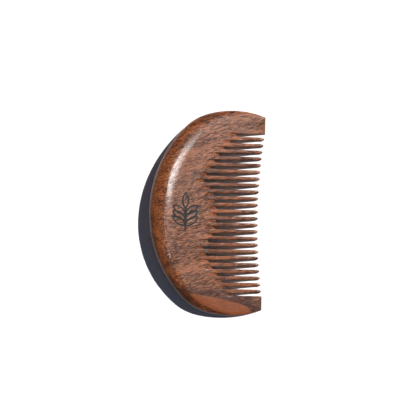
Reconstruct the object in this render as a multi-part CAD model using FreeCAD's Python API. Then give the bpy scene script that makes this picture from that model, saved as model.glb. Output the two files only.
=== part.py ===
"""Half-moon wide tooth comb of oiled hardwood, lying on its lower face.

Millimetres. +X runs from the spine to the tooth tips, +Y along the comb and +Z up
from the face it lies on. The origin is the middle of the comb's box, at the bottom.

The comb is a wedge: thick behind the spine's round and thin at the tips. Its lower
face is flat on Z = 0 and its upper face slopes down to the tips. The slots between the
teeth are sawn deep from the lower face and lightly from the upper one, and the round of the
blade leaves two ramps at each slot's end, which meet in an edge just under the upper face.
"""

import FreeCAD
import Part

import math
import os

V = FreeCAD.Vector

# Overall sizes
COMB_LENGTH = 105.0
COMB_WIDTH = 58.5
SPINE_THICKNESS = 11.0
TIP_THICKNESS = 1.1

# Outline of one half: a long back arc, a tight shoulder arc and a flatter end arc
BACK_HALF_ANGLE = math.radians(44.3)
SHOULDER_RADIUS = 25.8
SHOULDER_ANGLE = math.radians(28.0)
END_RADIUS = 45.6

# The rounded rim: a part of an ellipse in section, which meets each face at a soft edge
RIM_WIDTH = 8.8
RIM_SWEEP = math.radians(75.0)
RIM_LEVELS = 11
OUTLINE_POINTS = 31

# Teeth and the saw that cuts the slots. The row of slots sits a little off the comb's middle
TOOTH_COUNT = 24
GUARD_WIDTH = 11.025
SLOT_WIDTH = 1.35
SLOT_SHIFT = -0.8
SAW_RADIUS = 75.0
UPPER_CUT_DEPTH = 0.9
UPPER_CUT_ANGLE = math.radians(21.0)
LOWER_CUT_ANGLE = math.radians(37.0)

# Where the slots end, along the comb: a central lobe between two side arcs
LOBE_DEPTH = 34.5
LOBE_HALF_SLOTS = 5
VALLEY_DEPTH = 27.9
END_SLOT_DEPTH = 43.6
SIDE_ARC_SAG = 1.75

# Tooth tips lie on a shallow hollow curve, behind the line across the guards' ends
MIDDLE_TIP_RECESS = 2.7
END_TIP_RECESS = 0.3
TIP_NARROWING = 0.4
TIP_NOSE_LENGTH = 2.2
NOSE_STEPS = 6
NOSE_END_SHARE = 0.22
TOOTH_EDGE_RADIUS = 0.15
TIP_EDGE_SHARE = 0.44
ROOT_SHOULDER = 0.6
GUARD_TIP_RADIUS = 0.8

# Leaf sprig burnt into the upper face
ORNAMENT_FROM_SPINE = 18.6
ORNAMENT_LENGTH = 19.0
LINE_WIDTH = 0.6
LINE_END_WIDTH = 0.25
LINE_DEPTH = 0.2
LEAF_PAIRS = 3
LEAF_LENGTH = 7.6
LEAF_BULGE = 1.5
LEAF_ANGLE = math.radians(55.0)

# How far a cutting block stands past what it cuts, and the slack in telling an upright edge
CUT_MARGIN = 3.0
UPRIGHT_SLACK = 0.08

# Sizes that follow
SLOT_COUNT = TOOTH_COUNT + 1
TOOTH_PITCH = (COMB_LENGTH - 2 * GUARD_WIDTH - SLOT_WIDTH) / TOOTH_COUNT
TOOTH_WIDTH = TOOTH_PITCH - SLOT_WIDTH
TIP_WIDTH = TOOTH_WIDTH - TIP_NARROWING
MIDDLE_TIP = COMB_WIDTH - MIDDLE_TIP_RECESS
END_TIP = COMB_WIDTH - END_TIP_RECESS
FACE_SLOPE = (SPINE_THICKNESS - TIP_THICKNESS) / 2 / (MIDDLE_TIP - RIM_WIDTH)
SHOULDER_END = BACK_HALF_ANGLE + SHOULDER_ANGLE
SHOULDER_RISE = SHOULDER_RADIUS * (math.sin(SHOULDER_END) - math.sin(BACK_HALF_ANGLE))
END_RISE = END_RADIUS * (1 - math.sin(SHOULDER_END))
BACK_RADIUS = (COMB_LENGTH / 2 - SHOULDER_RISE - END_RISE) / math.sin(BACK_HALF_ANGLE)


def half_thickness(x):
    """Half of the wedge's thickness at a distance x from the spine's outermost line."""
    return SPINE_THICKNESS / 2 + FACE_SLOPE * (RIM_WIDTH - x)


def outline_point(heading):
    """Point of the outline's upper half, where the curve has turned by heading from +Y."""
    arcs = (
        (BACK_RADIUS, 0.0, BACK_HALF_ANGLE),
        (SHOULDER_RADIUS, BACK_HALF_ANGLE, SHOULDER_END),
        (END_RADIUS, SHOULDER_END, math.pi),
    )
    x = 0.0
    y = 0.0
    for radius, start, end in arcs:
        stop = min(heading, end)
        if stop > start:
            x += radius * (math.cos(start) - math.cos(stop))
            y += radius * (math.sin(stop) - math.sin(start))
    return x, y


def heading_at(x):
    """How far the outline has turned on the end arc at a distance x from the spine."""
    start_x = outline_point(SHOULDER_END)[0]
    return math.acos(math.cos(SHOULDER_END) - (x - start_x) / END_RADIUS)


def rim_section(sweep):
    """Closed flat wire of the blank at one level of the rim, from -RIM_SWEEP to RIM_SWEEP."""
    level = math.sin(sweep) / math.sin(RIM_SWEEP)
    inset_share = (1 - math.cos(sweep)) / (1 - math.cos(RIM_SWEEP))
    rim_ratio = RIM_WIDTH / half_thickness(0)
    last = heading_at(COMB_WIDTH + CUT_MARGIN)
    points = []
    for i in range(OUTLINE_POINTS):
        turn = last * (2 * i / (OUTLINE_POINTS - 1) - 1)
        x, y = outline_point(abs(turn))
        inset = rim_ratio * half_thickness(x) * inset_share
        x += inset * math.cos(turn)
        y = math.copysign(y, turn) - inset * math.sin(turn)
        points.append(V(x, y, half_thickness(x) * (1 + level)))
    curve = Part.BSplineCurve()
    curve.interpolate(points)
    return Part.Wire([curve.toShape(), Part.makeLine(points[-1], points[0])])


def make_blank():
    """The comb before sawing: both faces flat, the rim rounded, open-ended past the tips."""
    levels = [RIM_SWEEP * (2 * i / (RIM_LEVELS - 1) - 1) for i in range(RIM_LEVELS)]
    blank = Part.makeLoft([rim_section(level) for level in levels], True, False)
    past_tips = block(COMB_WIDTH, -COMB_LENGTH, 2 * CUT_MARGIN, 2 * COMB_LENGTH)
    return blank.cut(past_tips)


def block(x, y, length, width):
    """Upright block through the whole thickness, from its lowest corner in plan."""
    height = SPINE_THICKNESS * 2
    return Part.makeBox(length, width, height + CUT_MARGIN, V(x, y, -CUT_MARGIN))


def arc_depth(y, y_start, x_start, y_end, x_end, sag):
    """Depth at y on an arc between two ends, bowed towards the tips by sag at its middle."""
    chord = math.hypot(y_end - y_start, x_end - x_start)
    share = (y - y_start) / (y_end - y_start)
    radius = (chord**2 / 4 + sag**2) / (2 * abs(sag))
    off_middle = (share - 0.5) * chord
    bow = math.sqrt(radius**2 - off_middle**2) - (radius - abs(sag))
    return x_start + share * (x_end - x_start) + math.copysign(bow, sag)


def slot_depth(index):
    """Distance from the spine at which slot index, from 0, opens right through."""
    end_y = (SLOT_COUNT - 1) / 2 * TOOTH_PITCH
    y = abs(end_y - index * TOOTH_PITCH)
    valley_y = LOBE_HALF_SLOTS * TOOTH_PITCH
    if y < valley_y:
        return arc_depth(y, -valley_y, VALLEY_DEPTH, valley_y, VALLEY_DEPTH, LOBE_DEPTH - VALLEY_DEPTH)
    return arc_depth(y, valley_y, VALLEY_DEPTH, end_y, END_SLOT_DEPTH, -SIDE_ARC_SAG)


def slot_y(index):
    """Middle of slot index across the comb. Slot 0 is the left one, at +Y."""
    return ((SLOT_COUNT - 1) / 2 - index) * TOOTH_PITCH + SLOT_SHIFT


def tooth_y(index):
    """Middle of tooth index, which stands between slots index and index + 1."""
    return (slot_y(index) + slot_y(index + 1)) / 2


def tooth_root(index):
    """Where tooth index stands clear on both sides."""
    return max(slot_depth(index), slot_depth(index + 1)) + ROOT_SHOULDER


def tooth_tip(index):
    """Where tooth index ends, on the hollow curve of the tips."""
    share = (2 * index - TOOTH_COUNT + 1) / (TOOTH_COUNT - 1)
    return MIDDLE_TIP + (END_TIP - MIDDLE_TIP) * share**2


def make_slot(index):
    """What the saw takes out of the blank for one slot: a blade's arc from each face."""
    deepest = slot_depth(index)
    meeting = 2 * half_thickness(deepest) - UPPER_CUT_DEPTH
    reach = SPINE_THICKNESS

    def on_blade(rise):
        """Point of the blade's edge at a rise from the edge where the two cuts meet."""
        angle = UPPER_CUT_ANGLE if rise > 0 else LOWER_CUT_ANGLE
        centre_x = deepest + SAW_RADIUS * math.sin(angle)
        below_centre = SAW_RADIUS * math.cos(angle) - abs(rise)
        return V(centre_x - math.sqrt(SAW_RADIUS**2 - below_centre**2), 0, meeting + rise)

    edges = []
    for side in (1, -1):
        edges.append(Part.Arc(on_blade(0), on_blade(side * reach / 2), on_blade(side * reach)).toShape())
    right = COMB_WIDTH + CUT_MARGIN
    corners = [on_blade(reach), V(right, 0, meeting + reach), V(right, 0, meeting - reach), on_blade(-reach)]
    edges += [Part.makeLine(corners[i], corners[i + 1]) for i in range(3)]
    wire = Part.Wire(Part.sortEdges(edges)[0])
    slot = Part.Face(wire).extrude(V(0, SLOT_WIDTH, 0))
    slot.translate(V(0, slot_y(index) - SLOT_WIDTH / 2, 0))
    return slot


def rounded_section(x, y, width, height, z_middle, radius):
    """Upright rectangle with round corners, across the tooth at x."""
    half_width = width / 2
    half_height = height / 2
    bend = radius * (1 - math.sqrt(0.5))
    edges = []
    previous = None
    first = None
    for y_side, z_side, y_first in ((1, 1, True), (-1, 1, False), (-1, -1, True), (1, -1, False)):
        beside = V(x, y + y_side * half_width, z_middle + z_side * (half_height - radius))
        above = V(x, y + y_side * (half_width - radius), z_middle + z_side * half_height)
        middle = V(x, y + y_side * (half_width - bend), z_middle + z_side * (half_height - bend))
        start, end = (beside, above) if y_first else (above, beside)
        if previous is None:
            first = start
        else:
            edges.append(Part.makeLine(previous, start))
        edges.append(Part.Arc(start, middle, end).toShape())
        previous = end
    edges.append(Part.makeLine(previous, first))
    return Part.Wire(edges)


def make_tooth(index):
    """One tooth: full width at the root, tapering to a bullet-shaped tip."""
    root = tooth_root(index)
    tip = tooth_tip(index)
    nose = tip - TIP_NOSE_LENGTH
    stations = [(root, 1.0), (nose, 1.0)]
    for step in range(1, NOSE_STEPS + 1):
        share = step / NOSE_STEPS * math.sqrt(1 - NOSE_END_SHARE**2)
        stations.append((nose + share * TIP_NOSE_LENGTH, math.sqrt(1 - share**2)))
    wires = []
    for x, scale in stations:
        taper_share = min(1.0, (x - root) / (nose - root))
        width = (TOOTH_WIDTH + (TIP_WIDTH - TOOTH_WIDTH) * taper_share) * scale
        height = 2 * half_thickness(x) * scale
        run = (x - root) / (tip - root)
        end_radius = TIP_EDGE_SHARE * min(width, height)
        radius = min(TOOTH_EDGE_RADIUS + (end_radius - TOOTH_EDGE_RADIUS) * run, end_radius)
        wires.append(rounded_section(x, tooth_y(index), width, height, half_thickness(x), radius))
    return Part.makeLoft(wires, True, True)


def guard_block(side):
    """Where the guard at +Y or -Y lies: past the last slot and past the end slots' roots."""
    root = slot_depth(0) + ROOT_SHOULDER
    width = COMB_LENGTH / 2
    wall = slot_y(0 if side > 0 else SLOT_COUNT - 1) + side * SLOT_WIDTH / 2
    low_y = wall if side > 0 else wall - width
    return block(root, low_y, COMB_WIDTH - root + CUT_MARGIN, width)


def make_guard(blank, side):
    """The wide end tooth at +Y or -Y, with its tip's upright inner corner rounded."""
    guard = blank.common(guard_block(side))
    corners = []
    for edge in guard.Edges:
        box = edge.BoundBox
        upright = box.XLength + box.YLength < UPRIGHT_SLACK
        if upright and box.XMin > COMB_WIDTH - GUARD_TIP_RADIUS:
            corners.append(edge)
    return guard.makeFillet(GUARD_TIP_RADIUS, corners)


def make_back(blank):
    """The back and the lands between the slots, up to where each tooth stands clear."""
    cuts = [make_slot(index) for index in range(SLOT_COUNT)]
    for index in range(TOOTH_COUNT):
        root = tooth_root(index)
        low_y = tooth_y(index) - TOOTH_PITCH / 2
        cuts.append(block(root, low_y, COMB_WIDTH - root + CUT_MARGIN, TOOTH_PITCH))
    cuts += [guard_block(1), guard_block(-1)]
    return blank.cut(cuts)


def stroke(start, end, bulge):
    """Flat face of one groove: it bows to its left by bulge and narrows at both ends."""
    along = end - start
    left = V(-along.y, along.x, 0).normalize()
    middle = (start + end) * 0.5 + left * bulge
    near_end = left * (LINE_END_WIDTH / 2)
    half_line = left * (LINE_WIDTH / 2)
    outer = Part.Arc(start + near_end, middle + half_line, end + near_end).toShape()
    inner = Part.Arc(end - near_end, middle - half_line, start - near_end).toShape()
    butt = Part.makeLine(end + near_end, end - near_end)
    heel = Part.makeLine(start - near_end, start + near_end)
    return Part.Face(Part.Wire([outer, butt, inner, heel]))


def leaf(base, angle):
    """Two strokes that bound one leaf, from its stalk to its point."""
    point = base + V(math.cos(angle), math.sin(angle), 0) * LEAF_LENGTH
    return [stroke(base, point, LEAF_BULGE), stroke(base, point, -LEAF_BULGE)]


def make_ornament():
    """Grooves of the leaf sprig: a stem with leaves in pairs and one at its end."""
    up = math.pi / 2
    start = V(0, -ORNAMENT_LENGTH / 2, 0)
    stem_end = V(0, ORNAMENT_LENGTH / 2 - LEAF_LENGTH, 0)
    faces = [stroke(start, stem_end, 0.0)] + leaf(stem_end, up)
    for pair in range(LEAF_PAIRS):
        base = start + (stem_end - start) * ((pair + 1) / (LEAF_PAIRS + 1))
        faces += leaf(base, up - LEAF_ANGLE) + leaf(base, up + LEAF_ANGLE)
    grooves = [face.extrude(V(0, 0, LINE_DEPTH + CUT_MARGIN)) for face in faces]
    ornament = grooves[0].fuse(grooves[1:])
    ornament.translate(V(0, 0, -LINE_DEPTH))
    ornament.rotate(V(0, 0, 0), V(0, 1, 0), math.degrees(math.atan(2 * FACE_SLOPE)))
    ornament.translate(V(ORNAMENT_FROM_SPINE, 0, 2 * half_thickness(ORNAMENT_FROM_SPINE)))
    return ornament


def save(name, shape):
    """Centres the piece's place on the comb's box and writes it as one STEP file."""
    shape.translate(V(-COMB_WIDTH / 2, 0, 0))
    shape.exportStep(f"parts/{name}.step")
    print(name, len(shape.Solids), "solid", round(shape.Volume, 2), "mm3", shape.isValid())


def main():
    os.makedirs("parts", exist_ok=True)
    blank = make_blank()
    save("guard_left", make_guard(blank, 1))
    save("guard_right", make_guard(blank, -1))
    save("back", make_back(blank).cut(make_ornament()))
    for index in range(TOOTH_COUNT):
        save(f"tooth_{index + 1:02d}", make_tooth(index))


main()
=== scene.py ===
import math

import bmesh
import bpy
import numpy as np
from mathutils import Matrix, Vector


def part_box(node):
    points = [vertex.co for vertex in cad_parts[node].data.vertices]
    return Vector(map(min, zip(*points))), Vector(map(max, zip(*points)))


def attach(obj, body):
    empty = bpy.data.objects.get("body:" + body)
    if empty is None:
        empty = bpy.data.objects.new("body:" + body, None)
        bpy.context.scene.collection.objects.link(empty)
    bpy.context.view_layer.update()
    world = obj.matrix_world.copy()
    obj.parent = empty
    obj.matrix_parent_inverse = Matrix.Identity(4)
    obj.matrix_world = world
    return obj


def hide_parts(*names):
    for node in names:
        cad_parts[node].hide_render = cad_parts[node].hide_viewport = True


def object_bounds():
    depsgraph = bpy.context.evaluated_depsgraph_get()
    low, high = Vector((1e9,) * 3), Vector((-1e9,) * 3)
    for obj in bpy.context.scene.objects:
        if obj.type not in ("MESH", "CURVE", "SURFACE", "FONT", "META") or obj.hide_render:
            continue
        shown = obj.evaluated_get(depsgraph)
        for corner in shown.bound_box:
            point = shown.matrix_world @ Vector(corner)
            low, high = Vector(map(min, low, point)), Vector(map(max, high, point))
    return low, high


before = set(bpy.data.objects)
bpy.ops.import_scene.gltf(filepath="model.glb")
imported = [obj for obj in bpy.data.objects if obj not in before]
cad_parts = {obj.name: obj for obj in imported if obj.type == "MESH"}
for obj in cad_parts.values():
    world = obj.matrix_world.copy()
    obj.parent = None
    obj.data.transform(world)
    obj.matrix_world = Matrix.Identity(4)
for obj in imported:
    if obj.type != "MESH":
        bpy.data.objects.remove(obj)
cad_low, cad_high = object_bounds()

# ---------------------------------------------------------------- The board's outline and taper
# The comb is cut from one board. The back is a long arc, the shoulders are tight arcs and the
# ends are flatter ones. Both faces are planed so that the board thins towards the teeth.

MM = 0.001
LENGTH = cad_high.y - cad_low.y
SPINE_X = cad_low.x
RIM_WIDTH = 8.8 * MM
SHOULDER_RADIUS = 25.8 * MM
END_RADIUS = 45.6 * MM
BACK_HALF_ANGLE = math.radians(44.3)
SHOULDER_END = BACK_HALF_ANGLE + math.radians(28.0)
SHOULDER_RISE = SHOULDER_RADIUS * (math.sin(SHOULDER_END) - math.sin(BACK_HALF_ANGLE))
END_RISE = END_RADIUS * (1 - math.sin(SHOULDER_END))
BACK_RADIUS = (LENGTH / 2 - SHOULDER_RISE - END_RISE) / math.sin(BACK_HALF_ANGLE)
TIP_HALF_THICKNESS = 0.55 * MM
TAPER_RUN = 47.0 * MM
SPINE_HALF_THICKNESS = cad_high.z / 2
SLOPE = (SPINE_HALF_THICKNESS - TIP_HALF_THICKNESS) / TAPER_RUN
RIM_SWEEP = math.radians(75.0)
HOLLOW_DEPTH = 0.5 * MM
SANDING_DEPTH = 0.035 * MM
WAVE_LENGTH, WAVE_WANDER, WANDER_RUN = 3.1 * MM, 2.0, 7.0 * MM
CROSS_LENGTH, CROSS_WANDER, WANDER_ALONG = 2.3 * MM, 1.7, 5.2 * MM


def half_thickness(run):
    """Half of the board's thickness: it falls in a straight line with the run from the spine."""
    return SPINE_HALF_THICKNESS + SLOPE * (RIM_WIDTH - run)


def top_height(run):
    """Height of the upper face: the thickness less a shallow hollow, 4 s (1 - s) of its depth."""
    share = np.clip((run - RIM_WIDTH) / TAPER_RUN, 0, 1)
    return 2 * half_thickness(run) - HOLLOW_DEPTH * 4 * share * (1 - share)


def outline(turn):
    """Run from the spine and place along the comb, where the edge has turned by turn from +Y.

    Each of the three arcs adds radius * (cos(start) - cos(stop)) to the run and
    radius * (sin(stop) - sin(start)) along the comb, as far as the edge has turned on it.
    """
    size = np.abs(turn)
    run = np.zeros_like(size)
    along = np.zeros_like(size)
    arcs = (
        (BACK_RADIUS, 0.0, BACK_HALF_ANGLE),
        (SHOULDER_RADIUS, BACK_HALF_ANGLE, SHOULDER_END),
        (END_RADIUS, SHOULDER_END, math.pi),
    )
    for radius, start, end in arcs:
        stop = np.clip(size, start, end)
        run += radius * (math.cos(start) - np.cos(stop))
        along += radius * (np.sin(stop) - math.sin(start))
    return run, np.sign(turn) * along


def turn_at(run):
    """How far the edge has turned on the end arc, at a run from the spine."""
    shoulder_run = outline(np.array([SHOULDER_END]))[0][0]
    return np.arccos(np.cos(SHOULDER_END) - (run - shoulder_run) / END_RADIUS)


def sanding(run, along):
    """Depth of the waves that hand sanding leaves: two sets of sine waves across each other.

    Each set wanders, because a slower sine of the other direction is added to its angle.
    """
    wave = np.sin(along / WAVE_LENGTH + WAVE_WANDER * np.sin(run / WANDER_RUN))
    cross = np.sin(run / CROSS_LENGTH + CROSS_WANDER * np.sin(along / WANDER_ALONG))
    return SANDING_DEPTH * (2 + wave + cross) / 2


def smooth_step(value):
    """0 below 0, 1 above 1 and an S-curve between: v * v * (3 - 2 v)."""
    v = np.clip(value, 0.0, 1.0)
    return v * v * (3 - 2 * v)


# ---------------------------------------------------------------- The saw's slots
# Twenty-five slots are cut in from the straight edge with a round saw, deep from the lower face
# and lightly from the upper one. The blade leaves two ramps, which meet in an edge near the top.

SLOT_COUNT = 25
FIRST_TOOTH_LOW, FIRST_TOOTH_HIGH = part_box("tooth_01")
PITCH = (FIRST_TOOTH_LOW.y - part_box("tooth_24")[0].y) / (SLOT_COUNT - 2)
MIDDLE_TOOTH_LOW, MIDDLE_TOOTH_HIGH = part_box("tooth_12")
TOOTH_WIDTH = MIDDLE_TOOTH_HIGH.y - MIDDLE_TOOTH_LOW.y
SLOT_WIDTH = PITCH - TOOTH_WIDTH
FIRST_SLOT = (FIRST_TOOTH_LOW.y + FIRST_TOOTH_HIGH.y) / 2 + PITCH / 2
SAW_RADIUS = 75 * MM
UPPER_CUT_DEPTH = 0.9 * MM
UPPER_CUT_ANGLE = math.radians(21)
LOWER_CUT_ANGLE = math.radians(37)
LOBE_RUN = 34.5 * MM
VALLEY_RUN = 27.9 * MM
END_SLOT_RUN = 43.6 * MM
LOBE_HALF_WIDTH = 5 * PITCH
SIDE_ARC_SAG = 1.75 * MM
ROOT_SHOULDER = 0.6 * MM
SETTLING_ROUNDS = 8


def bowed(share, start, end, chord, sag):
    """Straight line from start to end plus an arc of the given chord and sag over it."""
    radius = (chord**2 / 4 + sag**2) / (2 * abs(sag))
    bow = np.sqrt(radius**2 - ((share - 0.5) * chord) ** 2) - (radius - abs(sag))
    return start + share * (end - start) + np.copysign(bow, sag)


slot = np.arange(SLOT_COUNT)
slot_place = FIRST_SLOT - slot * PITCH
off_middle = np.abs(slot - (SLOT_COUNT - 1) / 2) * PITCH
side_width = (SLOT_COUNT - 1) / 2 * PITCH - LOBE_HALF_WIDTH
lobe_share = np.clip(0.5 + off_middle / (2 * LOBE_HALF_WIDTH), 0, 1)
side_share = np.clip((off_middle - LOBE_HALF_WIDTH) / side_width, 0, 1)
lobe_run = bowed(lobe_share, VALLEY_RUN, VALLEY_RUN, 2 * LOBE_HALF_WIDTH, LOBE_RUN - VALLEY_RUN)
side_chord = math.hypot(side_width, END_SLOT_RUN - VALLEY_RUN)
side_run = bowed(side_share, VALLEY_RUN, END_SLOT_RUN, side_chord, -SIDE_ARC_SAG)
slot_run = np.where(off_middle < LOBE_HALF_WIDTH, lobe_run, side_run)
tooth_root = np.maximum(slot_run[:-1], slot_run[1:]) + ROOT_SHOULDER
guard_root = slot_run[0] + ROOT_SHOULDER


def meeting_height(number):
    """Height of the edge where the cuts from the two faces meet."""
    return top_height(slot_run[number]) - UPPER_CUT_DEPTH


def blade_run(number, height):
    """Run of the blade's edge at a height: a circle that leaves the meeting edge at an angle.

    The circle's centre is radius * sin(angle) further towards the tips and radius * cos(angle)
    above the edge for the upper cut, below it for the lower one.
    """
    rise = height - meeting_height(number)
    angle = np.where(rise > 0, UPPER_CUT_ANGLE, LOWER_CUT_ANGLE)
    centre = slot_run[number] + SAW_RADIUS * np.sin(angle)
    return centre - np.sqrt(SAW_RADIUS**2 - (SAW_RADIUS * np.cos(angle) - np.abs(rise)) ** 2)


def mouth_run(number, level):
    """Run where the blade meets a face: level is 1 for the upper face and 0 for the lower one."""
    run = slot_run[number]
    for _ in range(SETTLING_ROUNDS):
        run = blade_run(number, level * top_height(run))
    return run


# ---------------------------------------------------------------- The back
# The thick part that the hand holds. Its rim is rounded over with a spokeshave and sanded to a
# soft edge on both faces. The lands between the slots belong to it as far as the teeth's roots.

EDGE_RADIUS = 0.38 * MM
EDGE_STEPS = 3
EDGE_RUN_IN = 0.35
CROSS_LINES = 3
RIM_ROWS = 16
FACE_ROWS, FACE_CROWDING = 72, 1.1
LAND_ROWS, LAND_CROWDING = 20, 1.15
WALL_LEVELS = 8
MEETING_LEVEL = 5
RIM_UNEVENNESS = 0.08
RIM_SPREAD = 0.12
INSET_FADE = 10 * MM
SHOULDER_REACH = 3.2 * MM
SHOULDER_DROP = 0.23 * MM
WAVES_START = 1 / 8
# Painted shade on the rounded rim: full on its outer part, a quarter of it at the shoulder; the same
# mark makes the rim glossier
RIM_SHADE_FADE_START = 0.6
CREASE_SHADE = 0.25
CREASE_SHADE_REACH = 0.06
TOOTH_FACE_SAWN = 0.6
CREASE_ANGLE = math.radians(38)
WELD_DISTANCE = 0.002 * MM
FAR_FROM_BURN = 3 * MM

edge_sweep = np.linspace(math.pi / 2, 0, EDGE_STEPS + 1)
levels = np.linspace(0, 1, WALL_LEVELS)
land_share = np.linspace(0, 1, LAND_ROWS) ** LAND_CROWDING
face_share = np.linspace(0, 1, FACE_ROWS) ** FACE_CROWDING
cross_share = np.linspace(0, 1, CROSS_LINES + 2)
low_wall = slot_place - SLOT_WIDTH / 2
high_wall = slot_place + SLOT_WIDTH / 2


def grid_faces(rows, columns, first):
    """Four-cornered faces of a grid of points numbered row by row from first."""
    index = np.arange(rows * columns).reshape(rows, columns) + first
    corners = (index[:-1, :-1], index[:-1, 1:], index[1:, 1:], index[1:, :-1])
    return np.stack(corners, axis=-1).reshape(-1, 4)


def make_mesh(name, patches):
    """One closed mesh from grids of points, each with what its surface shows.

    A patch is (points, marks). The marks are painted shade and gloss on the rim, sawn wood
    and the distance to a burn, and each becomes an attribute of the mesh. A mesh that encloses a
    volume below 0 is inside out.
    """
    unmarked = {"oil": 0.0, "sawn": 0.0, "burn": FAR_FROM_BURN}
    values = {label: [] for label in unmarked}
    points, faces, count = [], [], 0
    for grid, marks in patches:
        rows, columns = grid.shape[:2]
        points.append(grid.reshape(-1, 3))
        faces.append(grid_faces(rows, columns, count))
        for label, plain in unmarked.items():
            values[label].append(np.broadcast_to(marks.get(label, plain), (rows, columns)).ravel())
        count += rows * columns
    mesh = bpy.data.meshes.new(name)
    mesh.from_pydata(np.concatenate(points).tolist(), [], np.concatenate(faces).tolist())
    for label, patch_values in values.items():
        layer = mesh.attributes.new(label, "FLOAT", "POINT")
        layer.data.foreach_set("value", np.concatenate(patch_values).astype(np.float32))
    work = bmesh.new()
    work.from_mesh(mesh)
    bmesh.ops.remove_doubles(work, verts=work.verts, dist=WELD_DISTANCE)
    bmesh.ops.recalc_face_normals(work, faces=work.faces)
    if work.calc_volume(signed=True) < 0:
        bmesh.ops.reverse_faces(work, faces=work.faces)
    for face in work.faces:
        face.smooth = True
    for edge in work.edges:
        edge.smooth = len(edge.link_faces) == 2 and edge.calc_face_angle() < CREASE_ANGLE
    work.to_mesh(mesh)
    work.free()
    piece = bpy.data.objects.new(name, mesh)
    bpy.context.scene.collection.objects.link(piece)
    return piece


def rim_points(turn, sweeps):
    """Run, along and height over the rim, one row for each sweep.

    The section is part of an ellipse: the inset is rim * (1 - cos(sweep)) / (1 - cos(full)), and
    the height goes as sin(sweep) / sin(full) from the middle of the board to its face. The rim is
    widest near the middle of the spine, and wider at the right end than at the left. Its upper side
    ends a little below the face, where the soft shoulder starts.
    """
    run, along = outline(turn)
    sweeps = sweeps[:, None]
    share = (1 - np.cos(sweeps)) / (1 - math.cos(RIM_SWEEP))
    uneven = 1 - RIM_UNEVENNESS * np.sin(turn) + RIM_SPREAD * np.cos(turn)
    inset = RIM_WIDTH / half_thickness(0) * half_thickness(run) * uneven * share
    fade = np.clip((mouth_run(0, 1.0) - run) / INSET_FADE, 0, 1)
    inner_run = run + inset * np.cos(turn) * fade
    inner_along = along - inset * np.sin(turn)
    level = np.sin(sweeps) / math.sin(RIM_SWEEP)
    hollow = 2 * half_thickness(inner_run) - top_height(inner_run)
    upper = np.clip(level, 0, 1)
    height = half_thickness(inner_run) * (1 + level) - hollow * upper - SHOULDER_DROP * upper**4
    return np.stack([inner_run, inner_along, height], axis=-1)


def face_height(run, along, level):
    """Height of the upper face at level 1, with its sanding waves, and of the lower at 0."""
    return level * (top_height(run) - sanding(run, along))


def edge_drop(radius, inset):
    """How far a rounded edge falls below its face at an inset from the wall: a quarter circle."""
    reach = np.clip(radius - inset, 0, None)
    return radius - np.sqrt(np.clip(radius**2 - reach**2, 0, None))


def across(high, low, radius):
    """Places and insets of lines from wall to wall: close on the rounded edges, even between."""
    edge = radius * (1 - np.sin(edge_sweep))
    inner = (high - edge[-1]) + cross_share[1:-1] * (low - high + 2 * edge[-1])
    places = np.concatenate([high - edge, inner, low + edge[::-1]])
    return places, np.minimum(high - places, places - low)


def to_frame(grid):
    """The same points with the run turned into X from the spine's place."""
    moved = grid.copy()
    moved[..., 0] += SPINE_X
    return moved


def rolled_edge(share):
    """Radius of a slot's softened edge: nothing at the ramp's start, full a third along."""
    return EDGE_RADIUS * smooth_step(share / EDGE_RUN_IN)


# Lines that run from the outline across the back: over each slot, then over the land below it
line_place = [high_wall[:1]]
line_slot = [np.zeros(1)]
for number in range(SLOT_COUNT):
    line_place.append(high_wall[number] - cross_share[1:] * SLOT_WIDTH)
    line_slot.append(np.full(CROSS_LINES + 1, float(number)))
    if number < SLOT_COUNT - 1:
        places = across(low_wall[number], high_wall[number + 1], EDGE_RADIUS)[0][1:]
        line_place.append(places)
        land_width = low_wall[number] - high_wall[number + 1]
        line_slot.append(number + (low_wall[number] - places) / land_width)
line_place = np.concatenate(line_place)
line_slot = np.concatenate(line_slot)
line_share = 2 * (line_place - line_place[0]) / (line_place[0] - line_place[-1]) + 1

# The lines spread out towards the outline, so that they meet its edge nearly square
OUTLINE_STEPS = 2000
MIDDLE_CROWDING = 0.22
guard_turn = turn_at(mouth_run(0, 1.0))
fine_turns = np.linspace(0, guard_turn, OUTLINE_STEPS)
fine_run, fine_along = outline(fine_turns)
walked = np.concatenate([[0], np.cumsum(np.hypot(np.diff(fine_run), np.diff(fine_along)))])
walk_share = np.abs(line_share) * (1 - MIDDLE_CROWDING + MIDDLE_CROWDING * line_share**2)
line_turn = np.sign(line_share) * np.interp(walk_share * walked[-1], walked, fine_turns)

# A leaf sprig, burnt in as shallow grooves with a hot stylus
SPRIG_RUN = 18.6 * MM
SPRIG_LENGTH = 19.0 * MM
LEAF_LENGTH = 7.6 * MM
LEAF_BULGE = 1.5 * MM
LEAF_ANGLE = math.radians(55.0)
LEAF_PAIRS = 3
STROKE_POINTS = 60
STYLUS_WIDTH = 0.7 * MM
GROOVE_DEPTH = 0.14 * MM
GROOVE_SPREAD = 1.25


def stroke(start, end, bulge):
    """Points along one stroke: a straight line plus 4 s (1 - s) of bulge to its left."""
    share = np.linspace(0, 1, STROKE_POINTS)[:, None]
    left = np.array([start[1] - end[1], end[0] - start[0]])
    left = left / np.hypot(*left)
    return start + share * (end - start) + 4 * share * (1 - share) * bulge * left


def leaf_strokes(base, angle):
    """The two sides of a leaf that grows from base at an angle."""
    point = base + LEAF_LENGTH * np.array([math.cos(angle), math.sin(angle)])
    return [stroke(base, point, LEAF_BULGE), stroke(base, point, -LEAF_BULGE)]


stem_start = np.array([SPRIG_RUN, -SPRIG_LENGTH / 2])
stem_end = np.array([SPRIG_RUN, SPRIG_LENGTH / 2 - LEAF_LENGTH])
strokes = [stroke(stem_start, stem_end, 0.0)] + leaf_strokes(stem_end, math.pi / 2)
for pair in range(LEAF_PAIRS):
    base = stem_start + (stem_end - stem_start) * (pair + 1) / (LEAF_PAIRS + 1)
    strokes += leaf_strokes(base, math.pi / 2 - LEAF_ANGLE)
    strokes += leaf_strokes(base, math.pi / 2 + LEAF_ANGLE)
sprig = np.concatenate(strokes)


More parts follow.
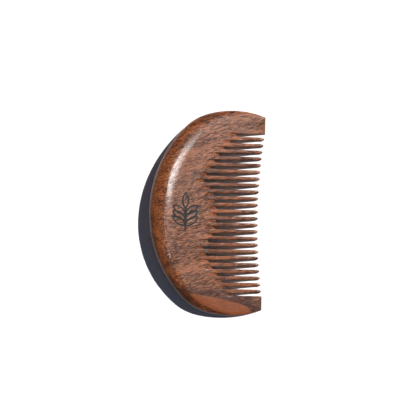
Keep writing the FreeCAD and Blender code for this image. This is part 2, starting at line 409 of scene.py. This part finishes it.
def distance_to_sprig(run, along):
    """Distance from each point to the nearest stroke, no more than FAR_FROM_BURN."""
    nearest = np.full(run.shape, FAR_FROM_BURN)
    reach = SPRIG_LENGTH / 2 + FAR_FROM_BURN
    close = (np.abs(run - SPRIG_RUN) < reach) & (np.abs(along) < reach)
    gap = np.hypot(run[close][:, None] - sprig[:, 0], along[close][:, None] - sprig[:, 1])
    nearest[close] = np.minimum(gap.min(axis=1), FAR_FROM_BURN)
    return nearest


def rim_to(wall, wall_run, turn, level):
    """Lines over the rim and then straight over a face to a wall, one column for each line.

    The soft shoulder lies drop * (1 - inside / reach) squared below the upper face.
    """
    sweeps = np.linspace(0, RIM_SWEEP, RIM_ROWS) * (1 if level else -1)
    rim = rim_points(turn, sweeps)
    ends = np.stack([wall_run, wall, np.zeros_like(wall_run)], axis=-1)
    face = rim[-1] + face_share[:, None, None] * (ends - rim[-1])
    run, along = face[..., 0], face[..., 1]
    waves = smooth_step(face_share / WAVES_START)[:, None]
    inside = np.hypot(run - run[0], along - along[0])
    shoulder = SHOULDER_DROP * np.clip(1 - inside / SHOULDER_REACH, 0, 1) ** 2
    face[..., 2] = level * (top_height(run) - waves * sanding(run, along) - shoulder)
    # Painted shade on the rim, fading to a quarter at the shoulder and out a little way onto the face
    fade = smooth_step((np.abs(sweeps) / RIM_SWEEP - RIM_SHADE_FADE_START) / (1 - RIM_SHADE_FADE_START))
    shade_on_rim = 1 - (1 - CREASE_SHADE) * fade
    shade_on_face = CREASE_SHADE * smooth_step(1 - face_share / CREASE_SHADE_REACH)
    oil = np.concatenate([shade_on_rim, shade_on_face[1:]])[:, None] * np.ones_like(turn)
    return np.concatenate([rim, face[1:]]), oil


def face_patch(level):
    """The rim and the face as far as the slots' mouths, with the sprig on the upper side."""
    mouths = np.array([mouth_run(number, level) for number in range(SLOT_COUNT)])
    grid, oil = rim_to(line_place, np.interp(line_slot, slot, mouths), line_turn, level)
    away = np.full(grid.shape[:2], FAR_FROM_BURN)
    if level:
        away = distance_to_sprig(grid[..., 0], grid[..., 1])
        grid[..., 2] -= GROOVE_DEPTH * smooth_step(GROOVE_SPREAD - away / (STYLUS_WIDTH / 2))
    return to_frame(grid), {"oil": oil, "burn": away}


def land_face(number, level):
    """One face of the land between two slots, from their mouths to the tooth's root."""
    high, low = low_wall[number], high_wall[number + 1]
    places, insets = across(high, low, EDGE_RADIUS)
    ends = mouth_run(number, level), mouth_run(number + 1, level)
    start = ends[0] + (high - places) / (high - low) * (ends[1] - ends[0])
    run = start + land_share[:, None] * (tooth_root[number] - start)
    along = np.broadcast_to(places, run.shape)
    drop = edge_drop(rolled_edge(land_share)[:, None], insets)
    height = face_height(run, along, level) + drop * (-1 if level else 1)
    return to_frame(np.stack([run, along, height], axis=-1))


def guard_line(side, level, edge_run, wall_run, radius):
    """Lines over one face of a guard, from the middle of its edge to the slot's wall."""
    wall = np.full_like(wall_run, high_wall[0] if side > 0 else low_wall[-1])
    grid, oil = rim_to(wall, wall_run, side * turn_at(edge_run), level)
    drop = edge_drop(radius, np.abs(grid[..., 1] - wall))
    grid[..., 2] += drop * (-1 if level else 1)
    return grid.swapaxes(0, 1), oil.T


def guard_land(side, level):
    """Face of the back beside the first or last slot, from the slot's mouth to the guard."""
    edge_start, wall_start = mouth_run(0, 1.0), mouth_run(0, level)
    edge_run = edge_start + land_share * (guard_root - edge_start)
    wall_run = wall_start + land_share * (guard_root - wall_start)
    grid, oil = guard_line(side, level, edge_run, wall_run, rolled_edge(land_share))
    return to_frame(grid), {"oil": oil}


def slot_wall(number, place, root):
    """Wall of a slot: between the blade's arcs at its end and the root, from face to face.

    One line of the wall starts at the edge where the two arcs meet, and the lines spread out
    evenly again towards the root.
    """
    meeting = meeting_height(number) / top_height(slot_run[number])
    start_levels = np.interp(levels, [0, levels[MEETING_LEVEL], 1], [0, meeting, 1])
    run = np.full(WALL_LEVELS, slot_run[number])
    for _ in range(SETTLING_ROUNDS):
        run = blade_run(number, start_levels * top_height(run))
    run[MEETING_LEVEL] = slot_run[number]
    share = land_share[:, None]
    grid = run + share * (root - run)
    wall_levels = start_levels + share * (levels - start_levels)
    edge = rolled_edge(land_share)[:, None]
    top = face_height(grid, place, 1) - edge
    height = edge + wall_levels * (top - edge)
    return to_frame(np.stack([grid, np.full_like(grid, place), height], axis=-1))


def slot_patches(number):
    """The two walls of a slot and the ramps that the blade leaves at its end."""
    upper_root = guard_root if number == 0 else tooth_root[number - 1]
    lower_root = guard_root if number == SLOT_COUNT - 1 else tooth_root[number]
    upper = slot_wall(number, high_wall[number], upper_root)
    lower = slot_wall(number, low_wall[number], lower_root)
    ramp = upper[0][:, None] + cross_share[:, None] * (lower[0] - upper[0])[:, None]
    return [(grid, {"sawn": 1.0}) for grid in (upper, lower, ramp)]


def flat_end(upper, lower):
    """Flat end between a line over the upper face and the line under it on the lower one."""
    return lower + levels[:, None, None] * (upper - lower), {"sawn": 1.0}


# The wood is a red-brown heartwood with darker bands, short dark pores and one strip of sapwood.
# These functions each make one shader node or a group of them
def new_group(name, inputs, outputs):
    """Empty node group with its ends. Inputs and outputs are (name, kind) in order."""
    group = bpy.data.node_groups.new(name, "ShaderNodeTree")
    for way, ends in (("INPUT", inputs), ("OUTPUT", outputs)):
        for label, kind in ends:
            group.interface.new_socket(name=label, in_out=way, socket_type=f"NodeSocket{kind}")
    return group, group.nodes.new("NodeGroupInput"), group.nodes.new("NodeGroupOutput")


def plug(tree, source, target):
    """Sets target to source: a socket is linked to it and anything else becomes its value."""
    if isinstance(source, bpy.types.NodeSocket):
        tree.links.new(source, target)
    else:
        target.default_value = source


def math_node(tree, operation, *values, clamp=False):
    """Result of one Math node."""
    made = tree.nodes.new("ShaderNodeMath")
    made.operation = operation
    made.use_clamp = clamp
    for place, value in enumerate(values):
        plug(tree, value, made.inputs[place])
    return made.outputs[0]


def remap(tree, value, start, stop, low=0.0, high=1.0):
    """Smooth step from low to high while value goes from start to stop."""
    made = tree.nodes.new("ShaderNodeMapRange")
    made.interpolation_type = "SMOOTHSTEP"
    ends = (("Value", value), ("From Min", start), ("From Max", stop), ("To Min", low), ("To Max", high))
    for label, number in ends:
        plug(tree, number, made.inputs[label])
    return made.outputs["Result"]


def mapped(tree, place, scale, shift=(0, 0, 0), turn=(0, 0, 0)):
    """A place scaled, then turned, then shifted by one Mapping node."""
    mapping = tree.nodes.new("ShaderNodeMapping")
    mapping.inputs["Scale"].default_value = scale
    mapping.inputs["Rotation"].default_value = turn
    mapping.inputs["Location"].default_value = shift
    tree.links.new(place, mapping.inputs["Vector"])
    return mapping.outputs[0]


def noise(tree, place, stretch, detail, shift=(0, 0, 0)):
    """Value of a Noise node, with its pattern stretched along the grain."""
    made = tree.nodes.new("ShaderNodeTexNoise")
    made.inputs["Scale"].default_value = 1.0
    made.inputs["Detail"].default_value = detail
    made.inputs["Roughness"].default_value = FIGURE_ROUGHNESS
    tree.links.new(mapped(tree, place, stretch, shift), made.inputs["Vector"])
    return made.outputs[0]


def blend(tree, share, first, second, mode="MIX"):
    """Colour that goes from first to second, or to first times second in the mode MULTIPLY."""
    made = tree.nodes.new("ShaderNodeMix")
    made.data_type = "RGBA"
    made.blend_type = mode
    plug(tree, share, made.inputs["Factor"])
    plug(tree, first, made.inputs[6])
    plug(tree, second, made.inputs[7])
    return made.outputs[2]


# Stretches are pattern repeats for each millimetre along the grain, across it and through the board
BAND_STRETCH, BAND_DETAIL = (0.015, 0.14, 0.4), 3.0
FIBRE_STRETCH, FIBRE_DETAIL, FIBRE_SHIFT = (0.3, 2.5, 2.1), 4.0, (7, 3, 1)
PORE_STRETCH, PORE_DETAIL, PORE_SHIFT = (0.5, 3.2, 2.4), 1.0, (1, 9, 4)
CLUMP_STRETCH, CLUMP_DETAIL, CLUMP_SHIFT = (0.05, 0.3, 0.3), 1.0, (5, 5, 5)
CLUMPING = 0.25
PORE_CUT = (0.635, 0.69)
FIGURE_ROUGHNESS = 0.66


def make_figure():
    """Group for the board's figure, from a place in millimetres with X along the grain.

    Bands is slow noise drawn out along the grain. Fibres is fast noise drawn out further. Pores are
    where a third noise plus a share of a slow one is cut off high, which leaves clumps of dashes.
    """
    group, given, result = new_group(
        "board figure",
        [("Place", "Vector")],
        [("Bands", "Float"), ("Fibres", "Float"), ("Pores", "Float")],
    )
    place = given.outputs["Place"]
    bands = noise(group, place, BAND_STRETCH, BAND_DETAIL)
    fibres = noise(group, place, FIBRE_STRETCH, FIBRE_DETAIL, FIBRE_SHIFT)
    dashes = noise(group, place, PORE_STRETCH, PORE_DETAIL, PORE_SHIFT)
    clumps = noise(group, place, CLUMP_STRETCH, CLUMP_DETAIL, CLUMP_SHIFT)
    edge = math_node(group, "MULTIPLY_ADD", clumps, CLUMPING, dashes)
    plug(group, bands, result.inputs["Bands"])
    plug(group, fibres, result.inputs["Fibres"])
    plug(group, remap(group, edge, *PORE_CUT), result.inputs["Pores"])
    return group


# Places and distances in the strip of sapwood are in millimetres
SAPWOOD_EDGE, SAPWOOD_SLANT = -42.5, -0.229
SAPWOOD_BOW, BOW_TURN, BOW_SHIFT = 0.65, 0.105, -1.02
SAPWOOD_WAVE, WAVE_TURN = 0.1, 0.9
SAPWOOD_END, SAPWOOD_END_DRAW = (20.0, 26.0), 3.0
SAPWOOD_FLOOR, FLOOR_SLANT = 5.7, -0.2106
EDGE_FRINGE = (-0.1, 0.15)
FLOOR_FRINGE = (-0.15, 0.1)
# The darkening past the sapwood line is partly the heartwood's darker edge, partly painted shade on the
# lower rim
DARKENING_REACH = 8.0


def make_sapwood():
    """Group for the strip of sapwood, from a place in millimetres: past a line and near the face.

    The line along the comb is edge + slant * x + bow * cos(turn * x + shift) + wave * sin(turn * x),
    and the strip draws in from it towards the end of the guard. The mask is the smaller of two
    smooth steps: the distance past the strip's edge, and the height above a sloping floor inside
    the board. The shade darkens the wood past the line and fades out over a band above it: partly
    the heartwood's darker edge by the sapwood, partly painted shade on the lower rim, which faces
    away from the lamp.
    """
    group, given, result = new_group(
        "sapwood strip", [("Place", "Vector")], [("Mask", "Float"), ("Shade", "Float")]
    )
    split = group.nodes.new("ShaderNodeSeparateXYZ")
    plug(group, given.outputs["Place"], split.inputs[0])
    x, y, z = split.outputs
    bow = math_node(group, "COSINE", math_node(group, "MULTIPLY_ADD", x, BOW_TURN, BOW_SHIFT))
    wave = math_node(group, "SINE", math_node(group, "MULTIPLY", x, WAVE_TURN))
    line = math_node(group, "MULTIPLY_ADD", x, SAPWOOD_SLANT, SAPWOOD_EDGE)
    line = math_node(group, "MULTIPLY_ADD", wave, SAPWOOD_WAVE, line)
    line = math_node(group, "MULTIPLY_ADD", bow, SAPWOOD_BOW, line)
    past_line = math_node(group, "SUBTRACT", line, y)
    draw = remap(group, x, *SAPWOOD_END, 0.0, SAPWOOD_END_DRAW)
    past_edge = math_node(group, "SUBTRACT", past_line, draw)
    floor = math_node(group, "MULTIPLY_ADD", x, FLOOR_SLANT, SAPWOOD_FLOOR)
    above = math_node(group, "SUBTRACT", z, floor)
    inside = remap(group, past_edge, *EDGE_FRINGE)
    mask = math_node(group, "MINIMUM", inside, remap(group, above, *FLOOR_FRINGE))
    plug(group, mask, result.inputs["Mask"])
    # Darker past the line: the heartwood's darker edge together with painted shade on the lower rim
    plug(group, remap(group, past_line, -DARKENING_REACH, 0.0), result.inputs["Shade"])
    return group


def placed(tree, group, place):
    """Outputs of a node group placed in a material and fed with a place."""
    made = tree.nodes.new("ShaderNodeGroup")
    made.node_tree = group
    tree.links.new(place, made.inputs["Place"])
    return made.outputs


def attribute(tree, label):
    """Value of one of the mesh's marks."""
    made = tree.nodes.new("ShaderNodeAttribute")
    made.attribute_name = label
    return made.outputs["Fac"]


GRAIN_ANGLE = math.radians(17)
BAND_RANGE, BAND_SHADES = (0.36, 0.64), (-0.18, 0.4)
FIBRE_RANGE, FIBRE_SHADES = (0.40, 0.60), (-0.05, 1.0)
EDGE_AND_PAINTED_SHADE = -0.6
DARK_HEARTWOOD = (0.056, 0.022, 0.014, 1)
LIGHT_HEARTWOOD = (0.325, 0.129, 0.066, 1)
SAWN_TINT = (0.98, 0.76, 0.52, 1)
# Tint for the painted shade on the rim: darker and redder
RIM_SHADE_TINT = (1.06, 0.79, 0.47, 1)
SAPWOOD_COLOUR, SAPWOOD_COVER = (0.26, 0.073, 0.024, 1), 0.72
PORE_COLOUR, PORE_COVER, SAPWOOD_PORE_LOSS = (0.022, 0.014, 0.013, 1), 0.7, -0.45
CHAR_COLOUR, CHAR_COVER = (0.004, 0.0035, 0.0035, 1), 0.96
CHAR_START, CHAR_FULL = STYLUS_WIDTH / 2 + 0.2 * MM, STYLUS_WIDTH / 2 - 0.02 * MM
WOOD_SPECULAR = 0.38
WOOD_ROUGHNESS, FIBRE_ROUGHNESS, CHAR_ROUGHNESS, RIM_SMOOTHING = 0.13, 0.10, 0.6, -0.06
GRAIN_RELIEF, RELIEF_DEPTH = 0.55, 0.05 * MM


def make_wood():
    """Oiled heartwood. The marks of the mesh paint shade on the rim, redden sawn wood and blacken burns.

    The figure's place is turned so that its X follows the grain and its Z stands square to the
    sloping upper face.
    """
    material = bpy.data.materials.new("oiled_wood")
    material.use_nodes = True
    tree = material.node_tree
    shader = tree.nodes["Principled BSDF"]
    place = tree.nodes.new("ShaderNodeTexCoord").outputs["Object"]
    to_mm = (1 / MM, 1 / MM, 1 / MM)
    grain = mapped(tree, place, to_mm, turn=(0, -math.atan(2 * SLOPE), -GRAIN_ANGLE))
    figure = placed(tree, make_figure(), grain)
    sapwood = placed(tree, make_sapwood(), mapped(tree, place, to_mm))
    oil, sawn = attribute(tree, "oil"), attribute(tree, "sawn")
    burn = remap(tree, attribute(tree, "burn"), CHAR_START, CHAR_FULL)

    bands = remap(tree, figure["Bands"], *BAND_RANGE, *BAND_SHADES)
    # Partly the heartwood's darker edge by the sapwood, partly painted shade on the lower rim
    shade = math_node(tree, "MULTIPLY_ADD", sapwood["Shade"], EDGE_AND_PAINTED_SHADE, bands)
    fibres = remap(tree, figure["Fibres"], *FIBRE_RANGE, *FIBRE_SHADES)
    lightness = math_node(tree, "ADD", fibres, shade, clamp=True)
    colour = blend(tree, lightness, DARK_HEARTWOOD, LIGHT_HEARTWOOD)
    colour = blend(tree, sawn, colour, SAWN_TINT, "MULTIPLY")
    # Painted shade on the rounded rim: the rim mark darkens and reddens it
    colour = blend(tree, oil, colour, RIM_SHADE_TINT, "MULTIPLY")
    pale = math_node(tree, "MULTIPLY", sapwood["Mask"], SAPWOOD_COVER)
    colour = blend(tree, pale, colour, SAPWOOD_COLOUR)
    pores = math_node(tree, "MULTIPLY_ADD", sapwood["Mask"], SAPWOOD_PORE_LOSS, PORE_COVER)
    pores = math_node(tree, "MULTIPLY", figure["Pores"], pores)
    colour = blend(tree, pores, colour, PORE_COLOUR)
    colour = blend(tree, math_node(tree, "MULTIPLY", burn, CHAR_COVER), colour, CHAR_COLOUR)
    tree.links.new(colour, shader.inputs["Base Color"])

    shader.inputs["Specular IOR Level"].default_value = WOOD_SPECULAR
    rough = math_node(tree, "MULTIPLY_ADD", figure["Fibres"], FIBRE_ROUGHNESS, WOOD_ROUGHNESS)
    rough = math_node(tree, "MULTIPLY_ADD", burn, CHAR_ROUGHNESS, rough)
    rough = math_node(tree, "MULTIPLY_ADD", oil, RIM_SMOOTHING, rough)
    tree.links.new(rough, shader.inputs["Roughness"])

    height = math_node(tree, "SUBTRACT", figure["Fibres"], figure["Pores"])
    bump = tree.nodes.new("ShaderNodeBump")
    bump.inputs["Strength"].default_value = GRAIN_RELIEF
    bump.inputs["Distance"].default_value = RELIEF_DEPTH
    tree.links.new(height, bump.inputs["Height"])
    tree.links.new(bump.outputs["Normal"], shader.inputs["Normal"])
    return material


wood = make_wood()
patches = [face_patch(1), face_patch(0)]
for number in range(SLOT_COUNT):
    patches += slot_patches(number)
for number in range(SLOT_COUNT - 1):
    upper, lower = land_face(number, 1), land_face(number, 0)
    marks = {"sawn": TOOTH_FACE_SAWN * land_share[:, None]}
    patches += [(upper, marks), (lower, marks), flat_end(upper[-1], lower[-1])]
for side in (1, -1):
    upper, lower = guard_land(side, 1), guard_land(side, 0)
    patches += [upper, lower, flat_end(upper[0][-1], lower[0][-1])]
back = make_mesh("back_wood", patches)
back.data.materials.append(wood)
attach(back, "root")
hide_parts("back")

# ---------------------------------------------------------------- The teeth
# Each tooth is the wood left between two slots. It is thinned a little towards its tip, and
# its edges and its nose are rounded with abrasive cord, so no two come out quite the same.

BODY_STATIONS = 30
NOSE_STATIONS = 10
NOSE_LENGTH = 2.2 * MM
TIP_WIDTH = 1.78 * MM
TIP_ROUNDNESS = 0.78
TIP_DRIFT = 0.05 * MM
WIDTH_SPREAD = 0.03 * MM
hand = np.random.default_rng(24)


def tooth_points(number):
    """A tooth from root to tip: rounded rectangles whose corners grow and whose nose closes.

    Half the width falls in a straight line to the nose. Over the nose half the width and half the
    thickness are multiplied by cos(angle) while the run advances by sin(angle), which gives an
    elliptical tip. The result is two faces, each as (points, marks).
    """
    low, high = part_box(f"tooth_{number + 1:02d}")
    root = tooth_root[number]
    tip = high.x - SPINE_X - abs(hand.normal(0, TIP_DRIFT))
    nose = tip - NOSE_LENGTH
    angle = np.linspace(0, math.pi / 2, NOSE_STATIONS)
    body = np.linspace(root, nose, BODY_STATIONS)[:-1]
    run = np.concatenate([body, nose + NOSE_LENGTH * np.sin(angle)])
    close = np.concatenate([np.ones(BODY_STATIONS - 1), np.cos(angle)])
    share = np.clip((run - root) / (nose - root), 0, 1)
    tip_width = TIP_WIDTH + hand.normal(0, WIDTH_SPREAD)
    half = (TOOTH_WIDTH + (tip_width - TOOTH_WIDTH) * share) / 2 * close
    centre = (low.y + high.y) / 2 + hand.normal(0, TIP_DRIFT) * share**2
    tip_radius = TIP_ROUNDNESS * tip_width / 2
    radius = (EDGE_RADIUS + (tip_radius - EDGE_RADIUS) * smooth_step(share)) * close
    places = np.stack([across(c + h, c - h, r)[0] for c, h, r in zip(centre, half, radius)])
    insets = half[:, None] - np.abs(places - centre[:, None])
    drop = edge_drop(radius[:, None], insets)
    middle = face_height(run[:, None], places, 1) / 2
    run = np.broadcast_to(run[:, None], places.shape)
    upper = np.stack([run, places, middle + middle * close[:, None] - drop], axis=-1)
    lower = np.stack([run, places, middle - middle * close[:, None] + drop], axis=-1)
    return [(to_frame(grid), {"sawn": TOOTH_FACE_SAWN}) for grid in (upper, lower)]


def ring_patches(upper, lower):
    """The two faces of a long piece, each as (points, marks), and the walls and ends between them."""
    top, bottom = upper[0], lower[0]
    walls = [flat_end(top[:, column], bottom[:, column]) for column in (0, -1)]
    ends = [flat_end(top[row], bottom[row]) for row in (0, -1)]
    return [upper, lower] + walls + ends


for number in range(SLOT_COUNT - 1):
    name = f"tooth_{number + 1:02d}"
    tooth = make_mesh(f"{name}_wood", ring_patches(*tooth_points(number)))
    tooth.data.materials.append(wood)
    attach(tooth, "root")
    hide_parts(name)

# ---------------------------------------------------------------- The guards
# The wide end teeth keep the board's rounded rim on their outer side. Their ends are cut square
# and eased all round, and the last stretch is thinned so that it doesn't catch.

GUARD_END = cad_high.x - SPINE_X
GUARD_STATIONS = 30
END_EASE = 0.35 * MM
END_CLOSING = 0.94
EASE_STATIONS = 9
THINNED_LENGTH = 4.0 * MM
THINNED_DEPTH = 0.12 * MM


def guard_points(side):
    """A guard from its root to its end, where every section draws in by a quarter circle.

    The thinning takes thinned * (height / full height) squared from the height, so it leaves the
    lower face flat. The result is two faces, each as (points, marks).
    """
    angle = np.linspace(0, math.pi / 2, EASE_STATIONS)
    straight = np.linspace(guard_root, GUARD_END - END_EASE, GUARD_STATIONS)[:-1]
    run = np.concatenate([straight, GUARD_END - END_EASE * (1 - np.sin(angle))])
    ease = np.concatenate([np.zeros(GUARD_STATIONS - 1), END_EASE * (1 - np.cos(angle))])
    radius = np.full(run.shape, EDGE_RADIUS)
    faces = [guard_line(side, level, run, run, radius) for level in (1, 0)]
    ease = ease[:, None]
    run = run[:, None]
    thinned = THINNED_DEPTH * smooth_step((run - GUARD_END + THINNED_LENGTH) / THINNED_LENGTH)
    rim_y, wall_y = faces[0][0][:, :1, 1], faces[0][0][:, -1:, 1]
    middle_y = (rim_y + wall_y) / 2
    half_y = np.abs(rim_y - wall_y) / 2
    full_z = top_height(run)
    middle_z = full_z / 2 - thinned / 4
    for grid, _ in faces:
        height = grid[..., 2] - thinned * (grid[..., 2] / full_z) ** 2
        grid[..., 2] = middle_z + (height - middle_z) * (1 - END_CLOSING * ease / END_EASE)
        grid[..., 1] = middle_y + (grid[..., 1] - middle_y) * (1 - ease / half_y)
    return [(to_frame(grid), {"oil": oil}) for grid, oil in faces]


for side, name in ((1, "guard_left"), (-1, "guard_right")):
    guard = make_mesh(f"{name}_wood", ring_patches(*guard_points(side)))
    guard.data.materials.append(wood)
    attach(guard, "root")
    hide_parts(name)

# ---------------------------------------------------------------- The table, the lamps and the camera
# The comb lies on a white table. Seen from above, a sun lamp to the upper right throws the hard
# shadow, a smaller lamp beside the camera adds a sheen, and the camera looks straight down.

FLOOR_SIZE = 3.0
FLOOR_GAP = 0.01 * MM
TABLE_COLOUR = (0.9, 0.9, 0.9, 1)
TABLE_ROUGHNESS = 0.9
TABLE_SPECULAR = 0.1
VIEW_LENS = 90.9
VIEW_SENSOR = 36
CAMERA_PLACE = (0.7 * MM, 2.4 * MM, 540 * MM)
CAMERA_ROLL = math.radians(1.25)
LAMP_SLOPES = (0.781, 0.621)
LAMP_SPREAD = math.radians(1.5)
LAMP_STRENGTH = 5.6
LAMP_COLOUR = (1.0, 0.985, 0.97)
SHEEN_PLACE = (98 * MM, 72 * MM, 500 * MM)
SHEEN_SIZE = (36 * MM, 90 * MM)
SHEEN_POWER = 1.05
SKY_COLOUR = (0.76, 0.92, 1.28, 1)
SKY_STRENGTH = 0.062

bpy.ops.mesh.primitive_plane_add(size=FLOOR_SIZE, location=(0, 0, -FLOOR_GAP))
table = bpy.context.object
table.name = "table"
table_paint = bpy.data.materials.new("white_table")
table_paint.use_nodes = True
table_shader = table_paint.node_tree.nodes["Principled BSDF"]
table_shader.inputs["Base Color"].default_value = TABLE_COLOUR
table_shader.inputs["Roughness"].default_value = TABLE_ROUGHNESS
table_shader.inputs["Specular IOR Level"].default_value = TABLE_SPECULAR
table.data.materials.append(table_paint)


def add_lamp(name, kind, place):
    """Lamp of a kind at a place, aimed at the middle of the table."""
    holder = bpy.data.objects.new(name, bpy.data.lights.new(name, kind))
    holder.location = place
    holder.rotation_euler = holder.location.to_track_quat("Z", "Y").to_euler()
    bpy.context.scene.collection.objects.link(holder)
    return holder


key = add_lamp("key_lamp", "SUN", (*LAMP_SLOPES, 1))
key.data.energy = LAMP_STRENGTH
key.data.angle = LAMP_SPREAD
key.data.color = LAMP_COLOUR

# The second lamp adds only a sheen: it gives no diffuse light, so it throws no shadow on the table
sheen = add_lamp("sheen_lamp", "AREA", SHEEN_PLACE)
sheen.data.shape = "ELLIPSE"
sheen.data.size, sheen.data.size_y = SHEEN_SIZE
sheen.data.energy = SHEEN_POWER
sheen.visible_diffuse = False

sky = bpy.data.worlds.new("studio")
sky.use_nodes = True
sky_light = sky.node_tree.nodes["Background"]
sky_light.inputs["Color"].default_value = SKY_COLOUR
sky_light.inputs["Strength"].default_value = SKY_STRENGTH
bpy.context.scene.world = sky
bpy.context.scene.view_settings.view_transform = "Standard"

camera = bpy.data.objects.new("camera", bpy.data.cameras.new("camera"))
camera.data.lens = VIEW_LENS
camera.data.sensor_width = VIEW_SENSOR
camera.location = CAMERA_PLACE
camera.rotation_euler = (0, 0, CAMERA_ROLL)
bpy.context.scene.collection.objects.link(camera)
bpy.context.scene.camera = camera
